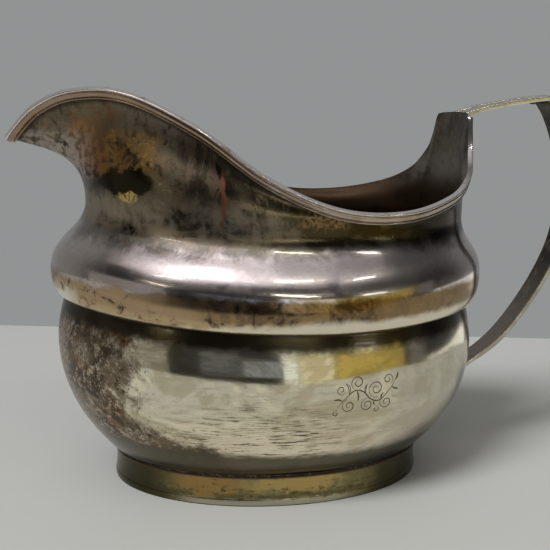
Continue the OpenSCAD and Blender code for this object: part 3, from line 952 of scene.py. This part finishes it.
def foot_silver():
    s = Surface("foot_silver", (0.28, 0.225, 0.095), 0.2, coat=0.06)
    fine = s.noise(0.5, 7, 0.7)
    blotch = s.noise(0.14, 7, 0.7, distort=0.6, shift=17.0)
    s.lay(s.ease(s.noise(0.1, 7, 0.65, distort=0.5), 0.45, 0.6), (0.21, 0.175, 0.075), 0.26)
    s.lay((s.ease(blotch, 0.52, 0.6), 0.7), (0.30, 0.27, 0.13), 0.28)
    ragged = s.warp(0.3, 6.0)
    s.stain(ragged, (-18, -20, 4.4), (8, 16, 2.6), (0.38, 0.23, 0.075), 0.22, 0.8)
    s.stain(ragged, (1, -26, 4.8), (11, 14, 1.8), (0.56, 0.40, 0.14), 0.2, 0.75)
    pits = s.ease(s.noise(0.7, 7, 0.75, stretch=(0.7, 0.7, 1.6), shift=6.0), 0.52, 0.6)
    line = s.times(s.ease(s.z, 4.2, 3.2), s.ease(s.z, 1.6, 2.3))
    s.lay((pits, line, 0.9), (0.06, 0.05, 0.025), 0.35)
    s.lay((pits, s.ease(blotch, 0.5, 0.58), 0.6), (0.10, 0.08, 0.04), 0.35)
    low = s.times(s.ease(s.plus(s.z, blotch, 4.0), 5.4, 4.4), s.ease(blotch, 0.44, 0.52))
    s.lay((low, 0.7), (0.12, 0.10, 0.045), 0.3)
    worn = s.ease(s.plus(s.z, fine, 2.2), 2.9, 2.3)
    s.lay((worn, s.patch(s.place, (-6, -26, 1), (20, 16, 4)), 0.85), (0.50, 0.47, 0.36), 0.26)
    # Painted dark reflections at both ends of the foot: the shaded table and the dark room.
    along = s.plus(s.x, fine, 6.0)
    ends = s.math("MAXIMUM", s.ease(along, -18, -28), s.ease(along, 16, 26))
    s.lay((ends, 0.93), (0.042, 0.039, 0.017), 0.26)
    # Painted shadow: a dark line at the top of the foot, under the bowl.
    s.lay(s.ease(s.z, 6.0, 6.5), (0.10, 0.05, 0.03), 0.4)
    # Painted contact shadow: a thin dark line where the foot meets the table.
    s.lay(s.ease(s.z, 0.35, 0.1), (0.05, 0.045, 0.02), 0.4)
    s.bump(s.noise(0.6, 6, 0.6), 0.25, 0.08)
    return s.finish()


def handle_silver():
    s = Surface("handle_silver", (0.66, 0.64, 0.57), 0.24, coat=0.3)
    s.lay(s.ease(s.noise(0.15, 6, 0.62, distort=0.4), 0.42, 0.6), (0.50, 0.46, 0.40), 0.3)
    s.lay((s.ease(s.noise(0.6, 6, 0.7, shift=4.0), 0.55, 0.66), 0.4), (0.25, 0.22, 0.18), 0.34)
    s.lay((s.ease(s.z, 84.5, 86.5), 0.8), (0.88, 0.86, 0.76), 0.26)
    s.lay((s.ease(s.z, 84, 86), s.ease(s.noise(0.3, 5, 0.6, shift=14.0), 0.52, 0.62), 0.5),
          (0.50, 0.51, 0.42), 0.34)
    s.lay((s.ease(s.z, 84.5, 82.5), 0.35), (0.40, 0.35, 0.31), 0.3)
    s.bump(s.noise(0.7, 5, 0.6), 0.25, 0.06)
    return s.finish()


def handle_painted_shade():
    """The face of the bow towards the body, painted dark as the shade between the handle and the body,
    less so low down.
    """
    s = Surface("handle_painted_shade", (0.05, 0.042, 0.034), 0.3)
    s.lay(s.ease(s.noise(0.12, 6, 0.65, distort=0.4), 0.45, 0.6), (0.085, 0.072, 0.058), 0.34)
    s.lay((s.ease(s.noise(0.35, 7, 0.68, shift=9.0), 0.5, 0.6), 0.4), (0.26, 0.225, 0.18), 0.34)
    s.lay((s.ease(s.z, 50, 32), 0.75), (0.36, 0.31, 0.25), 0.3)
    s.lay((s.ease(s.noise(0.6, 6, 0.7, shift=4.0), 0.56, 0.66), 0.5), (0.30, 0.26, 0.20), 0.36)
    s.bump(s.noise(0.7, 5, 0.6), 0.25, 0.06)
    return s.finish()


def solder_silver():
    s = Surface("solder", (0.06, 0.05, 0.035), 0.5)
    s.lay(s.ease(s.noise(0.8, 6, 0.7), 0.5, 0.65), (0.24, 0.20, 0.15), 0.4)
    s.bump(s.noise(1.6, 5, 0.6), 0.5, 0.1)
    return s.finish()


def engraved_dark():
    s = Surface("engraved_dark", (0.10, 0.08, 0.05), 0.45)
    s.lay(s.ease(s.noise(1.5, 5, 0.6), 0.5, 0.62), (0.14, 0.11, 0.075), 0.4)
    return s.finish()


# ---- stage and light ----

# How far the table reaches to each side, in front of the jug and behind it.
TABLE_SIDE, TABLE_FRONT, TABLE_BACK = 400, -172, 137
TABLE_COLOR = (0.52, 0.53, 0.51)


def add_stage():
    """A pale table, square to the camera, that ends a little in front of the jug and behind it."""
    edges = ((-TABLE_SIDE, TABLE_FRONT), (TABLE_SIDE, TABLE_FRONT),
             (TABLE_SIDE, TABLE_BACK), (-TABLE_SIDE, TABLE_BACK))
    corners = [VIEW_RIGHT * u + VIEW_AWAY * v for u, v in edges]
    floor = add_mesh("floor", corners, [(0, 1, 2, 3)])
    material = bpy.data.materials.new("floor")
    material.use_nodes = True
    shader = material.node_tree.nodes["Principled BSDF"]
    set_inputs(shader, {"Base Color": (*TABLE_COLOR, 1), "Roughness": 0.6})
    floor.data.materials.append(material)


def towards(azimuth, elevation):
    """The direction at an azimuth, 0 in front of the jug and 90 beyond its handle."""
    turn, lift = math.radians(azimuth), math.radians(elevation)
    return Vector((math.sin(turn) * math.cos(lift), -math.cos(turn) * math.cos(lift), math.sin(lift)))


# Each light: its name, azimuth and elevation, size across and up, radiance, colour and, for a
# lamp, how far it is turned, all in degrees. The ceiling's boxes are level along the jug.
CEILING = [
    ("ceiling", -31, 57, (32, 19), 1.15, (1, 0.94, 0.97)),
    ("ceiling_soft", -29, 58, (46, 28), 0.56, (1, 0.94, 0.96)),
    ("ceiling_wide", -24, 60, (66, 38), 0.22, (1, 0.95, 0.96)),
    ("ceiling_right", 44, 62, (34, 26), 0.2, (1, 0.95, 0.96)),
]
BOXES_AND_LAMPS = [
    ("ceiling_left", -62, 51, (34, 20), 0.3, (1, 0.93, 0.92)),
    ("ceiling_end", -74, 45, (34, 16), 0.2, (1, 0.92, 0.9)),
    ("lamp_a", -49, 40, (12, 0.8), 18, (1, 0.97, 0.9), 25),
    ("lamp_b", 22, 57, (9, 0.8), 34, (1, 0.97, 0.8)),
    ("lamp_c", 51, 48, (7, 0.8), 30, (1, 0.98, 0.92), -20),
    ("lamp_d", -51, 19, (10, 0.8), 14, (1, 0.94, 0.72), -6),
    ("lamp_e", 11, 24.5, (15, 0.8), 20, (1, 0.95, 0.75), -18),
    ("lamp_f", 43, 15, (10, 0.7), 16, (0.98, 1, 0.95), -12),
    ("card_left", -72, 0, (50, 26), 0.24, (1, 0.96, 0.88)),
    ("card_dark", -21, 3, (20, 20), 0.08, (0.8, 0.88, 1)),
    ("card_blue", -4, 3, (14, 15), 0.27, (0.76, 0.84, 1)),
    ("card_pale", 7, 2, (6, 30), 0.84, (0.95, 1, 1)),
    ("card_cream", 18, 1, (15, 28), 0.64, (1, 0.93, 0.66)),
    ("card_gold", 44, 0, (36, 27), 0.36, (1, 0.76, 0.16)),
    ("card_gap", 70, 1, (10, 26), 0.13, (1, 0.97, 0.9)),
    ("card_right", 99, -9, (46, 12), 0.7, (1, 1, 0.98)),
]
# What the lights are aimed at, and how far they are from it, in millimetres.
AIM, LIGHT_DISTANCE = Vector((0, -30, 45)), 700.0


def add_light(name, azimuth, elevation, size, radiance, color, tilt=0.0, level=None):
    """A soft box or a lamp. Its width lies along level, or is level itself where none is given."""
    width, height = (2 * LIGHT_DISTANCE * math.tan(math.radians(angle / 2)) * MM for angle in size)
    data = bpy.data.lights.new(name, "AREA")
    data.shape = "RECTANGLE"
    data.size, data.size_y = width, height
    data.energy = radiance * math.pi * width * height
    data.color = color
    away = towards(azimuth, elevation)
    light = bpy.data.objects.new(name, data)
    bpy.context.collection.objects.link(light)
    upright = away.cross(level or Vector((0, 0, 1)).cross(away)).normalized()
    turned = Matrix((upright.cross(away), upright, away)).transposed()
    turned = turned @ Matrix.Rotation(math.radians(tilt), 3, "Z")
    light.matrix_world = turned.to_4x4()
    light.location = (AIM + away * LIGHT_DISTANCE) * MM
    light.visible_camera = False


def add_lights():
    for box in CEILING:
        add_light(*box, level=Vector((1, 0, 0)))
    for box_or_lamp in BOXES_AND_LAMPS:
        add_light(*box_or_lamp)


def add_sun():
    """The light that falls on the table, from the left and in front."""
    data = bpy.data.lights.new("sun", "SUN")
    data.energy = 2.35
    data.angle = math.radians(20)
    light = bpy.data.objects.new("sun", data)
    bpy.context.collection.objects.link(light)
    light.rotation_euler = (-towards(-50, 48)).to_track_quat("-Z", "Y").to_euler()
    light.visible_glossy = False


BACKDROP_COLOR = (0.285, 0.295, 0.295)


def add_world():
    """Grey to look at; dim in front of the jug and brighter behind it and above."""
    world = bpy.data.worlds.new("world")
    world.use_nodes = True
    tree = world.node_tree
    seen = tree.nodes["Background"]
    set_inputs(seen, {"Color": (*BACKDROP_COLOR, 1)})
    split = tree.nodes.new("ShaderNodeSeparateXYZ")
    tree.links.new(tree.nodes.new("ShaderNodeTexCoord").outputs["Generated"], split.inputs[0])
    add = tree.nodes.new("ShaderNodeMath")
    tree.links.new(smooth_step(tree, split.outputs["Y"], -0.1, 0.5, 0.035, 0.24), add.inputs[0])
    tree.links.new(smooth_step(tree, split.outputs["Z"], 0.3, 0.9, 0.0, 0.08), add.inputs[1])
    room = tree.nodes.new("ShaderNodeBackground")
    tree.links.new(add.outputs[0], room.inputs["Color"])
    which = tree.nodes.new("ShaderNodeLightPath").outputs["Is Camera Ray"]
    both = tree.nodes.new("ShaderNodeMixShader")
    tree.links.new(which, both.inputs[0])
    tree.links.new(room.outputs[0], both.inputs[1])
    tree.links.new(seen.outputs[0], both.inputs[2])
    tree.links.new(both.outputs[0], tree.nodes["World Output"].inputs["Surface"])
    bpy.context.scene.world = world


# ---- assembly ----

def fit(piece, slot, materials, *replaced):
    """Give a piece its materials and the body it rides on, and hide the CAD nodes it stands for."""
    for material in materials:
        piece.data.materials.append(material)
    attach(piece, "root")
    if replaced:
        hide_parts(*replaced)


def add_pieces():
    wall = moved(body_grid(), waviness(BODY_WAVE))
    inside, wire = inside_silver(), wire_silver()
    foot, handle = foot_silver(), handle_silver()
    solder = solder_silver()
    fit(make_bowl(), "bowl_silver", (bowl_silver(), inside), "lower_bowl")
    fit(make_scroll(), "bowl_silver", (engraved_dark(),))
    fit(make_body(wall), "body_silver", (body_silver(), wire, inside), "upper_body")
    fit(make_wire(wall), "wire_silver", (wire,), "mouth_wire")
    fit(make_foot(), "foot_silver", (foot,), "foot_ring")
    fit(make_base_wire(), "foot_silver", (foot,), "foot_base_wire")
    fit(make_foot_solder(), "solder", (solder,), "foot_solder")
    fit(make_top_strap(), "handle_silver", (handle,), "handle_top_strap")
    fit(make_bow(), "handle_silver", (handle, handle_painted_shade()), "handle_bow")
    # The other four beads of solder are the CAD model's own.
    for node in ("seam_solder", "upper_handle_solder", "handle_corner_solder", "lower_handle_solder"):
        for slot in bpy.data.objects[node].material_slots:
            slot.material = solder


bpy.context.scene.view_settings.view_transform = "Standard"
add_camera()
add_pieces()
add_stage()
add_lights()
add_sun()
add_world()
